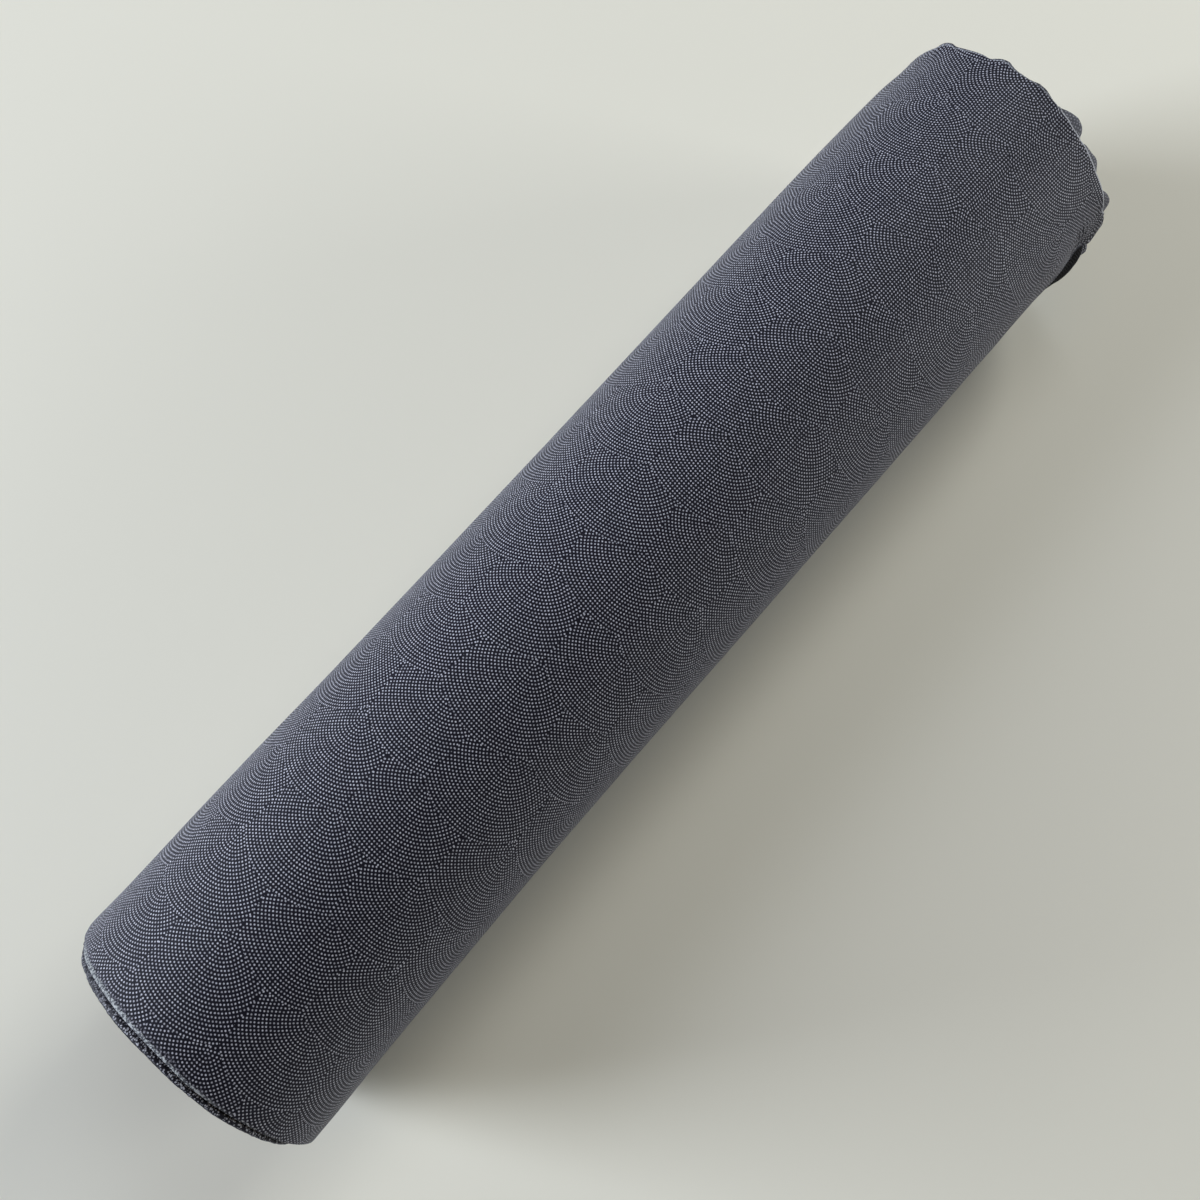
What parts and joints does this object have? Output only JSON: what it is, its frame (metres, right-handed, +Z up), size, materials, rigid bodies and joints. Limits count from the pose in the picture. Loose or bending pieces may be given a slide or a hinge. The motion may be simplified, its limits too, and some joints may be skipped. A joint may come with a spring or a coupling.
{
  "type": "roll of kimono silk",
  "caption": "Firm roll of narrow patterned silk crepe, wound selvedge to selvedge, lying on its side, kept to be cut and sewn into a kimono.",
  "frame": {"origin": "middle of the base, on the surface that the roll rests on", "axes": "+X along the roll towards the frilled selvedge, +Z up, +Y across the roll"},
  "size_m": [0.3748, 0.0858, 0.083],
  "materials": {
    "silk": "fine crepe weave, dark charcoal navy with small pale dots, soft silk sheen"
  },
  "bodies": {
    "root": {"kimono_silk_roll": "silk"}
  },
  "joints": []
}
